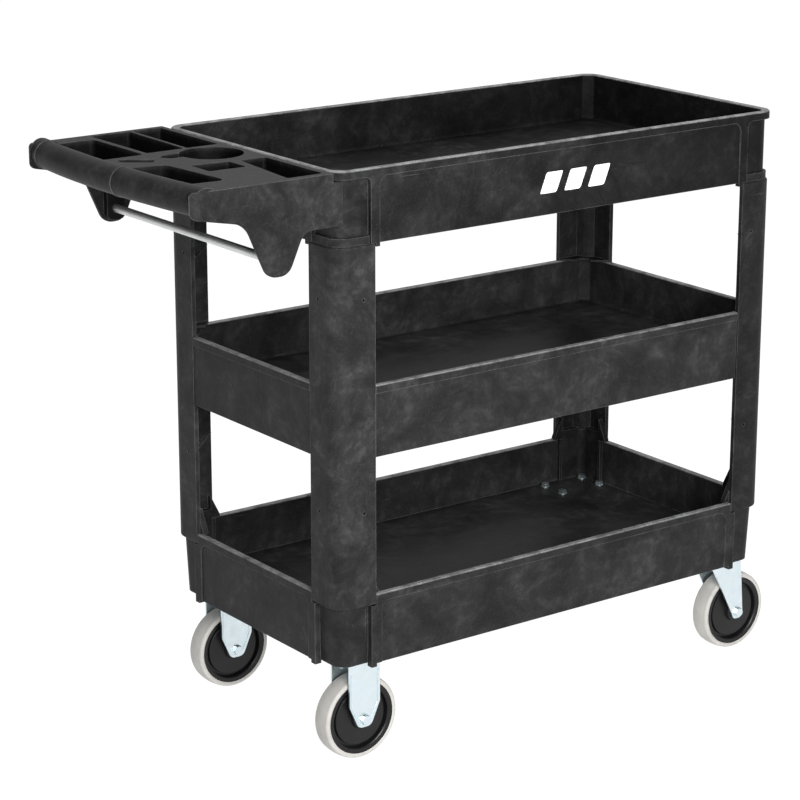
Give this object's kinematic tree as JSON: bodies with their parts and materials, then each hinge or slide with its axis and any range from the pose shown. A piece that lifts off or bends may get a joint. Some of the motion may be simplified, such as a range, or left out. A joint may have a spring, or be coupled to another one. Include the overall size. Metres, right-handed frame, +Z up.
{
  "type": "utility tool cart",
  "caption": "Moulded utility cart with open tray shelves between angle legs, a tool-tray push handle over a hanging rod, fixed rear wheels and swivel front casters.",
  "frame": {"origin": "on the floor, under the centre of the overall bounding box", "axes": "+X forward, away from the push handle; +Y to the pusher's left; +Z up"},
  "size_m": [1.0897, 0.432, 0.873],
  "materials": {
    "shelf_black": "satin, mottled moulded polypropylene",
    "hub_black": "smooth satin",
    "tread_grey": "satin thermoplastic rubber",
    "zinc_plate": "bright zinc plated",
    "bearing_steel": "polished and oiled",
    "rod_metal": "drawn, light grey"
  },
  "bodies": {
    "cart": {"top_shelf": "shelf_black", "middle_shelf": "shelf_black", "bottom_shelf": "shelf_black", "rear_right_leg": "shelf_black", "front_right_leg": "shelf_black", "rear_left_leg": "shelf_black", "front_left_leg": "shelf_black", "handle_tray": "shelf_black", "hanging_rod": "rod_metal", "top_leg_screws": "zinc_plate", "middle_leg_screws": "zinc_plate", "handle_screws": "zinc_plate", "rear_right_plate_bolts": "zinc_plate", "rear_right_plate_nuts": "zinc_plate", "rear_right_fork": "zinc_plate", "rear_right_axle_bolt": "zinc_plate", "rear_right_axle_nut": "zinc_plate", "rear_right_axle_sleeve": "bearing_steel", "rear_left_plate_bolts": "zinc_plate", "rear_left_plate_nuts": "zinc_plate", "rear_left_fork": "zinc_plate", "rear_left_axle_bolt": "zinc_plate", "rear_left_axle_nut": "zinc_plate", "rear_left_axle_sleeve": "bearing_steel", "front_right_plate_bolts": "zinc_plate", "front_right_plate_nuts": "zinc_plate", "front_right_swivel_plate": "zinc_plate", "front_right_race_balls": "bearing_steel", "front_right_kingpin": "zinc_plate", "front_left_plate_bolts": "zinc_plate", "front_left_plate_nuts": "zinc_plate", "front_left_swivel_plate": "zinc_plate", "front_left_race_balls": "bearing_steel", "front_left_kingpin": "zinc_plate"},
    "rear_right_wheel": {"rear_right_wheel_hub": "hub_black", "rear_right_wheel_tread": "tread_grey"},
    "rear_left_wheel": {"rear_left_wheel_hub": "hub_black", "rear_left_wheel_tread": "tread_grey"},
    "front_right_wheel": {"front_right_wheel_hub": "hub_black", "front_right_wheel_tread": "tread_grey"},
    "front_left_wheel": {"front_left_wheel_hub": "hub_black", "front_left_wheel_tread": "tread_grey"},
    "front_right_swivel": {"front_right_fork": "zinc_plate", "front_right_axle_bolt": "zinc_plate", "front_right_axle_nut": "zinc_plate", "front_right_axle_sleeve": "bearing_steel"},
    "front_left_swivel": {"front_left_fork": "zinc_plate", "front_left_axle_bolt": "zinc_plate", "front_left_axle_nut": "zinc_plate", "front_left_axle_sleeve": "bearing_steel"}
  },
  "joints": [
    {"name": "rear_right_wheel_spin", "type": "hinge", "parent": "cart", "child": "rear_right_wheel", "pos_m": [-0.2445, -0.167, 0.0625], "axis": [0, 1, 0], "continuous": true},
    {"name": "rear_left_wheel_spin", "type": "hinge", "parent": "cart", "child": "rear_left_wheel", "pos_m": [-0.2445, 0.167, 0.0625], "axis": [0, 1, 0], "continuous": true},
    {"name": "front_right_swivel_turn", "type": "hinge", "parent": "cart", "child": "front_right_swivel", "pos_m": [0.4375, -0.167, 0.148], "axis": [0, 0, 1], "continuous": true},
    {"name": "front_right_wheel_spin", "type": "hinge", "parent": "front_right_swivel", "child": "front_right_wheel", "pos_m": [0.482, -0.167, 0.0625], "axis": [0, 1, 0], "continuous": true},
    {"name": "front_left_swivel_turn", "type": "hinge", "parent": "cart", "child": "front_left_swivel", "pos_m": [0.4375, 0.167, 0.148], "axis": [0, 0, 1], "continuous": true},
    {"name": "front_left_wheel_spin", "type": "hinge", "parent": "front_left_swivel", "child": "front_left_wheel", "pos_m": [0.482, 0.167, 0.0625], "axis": [0, 1, 0], "continuous": true}
  ]
}
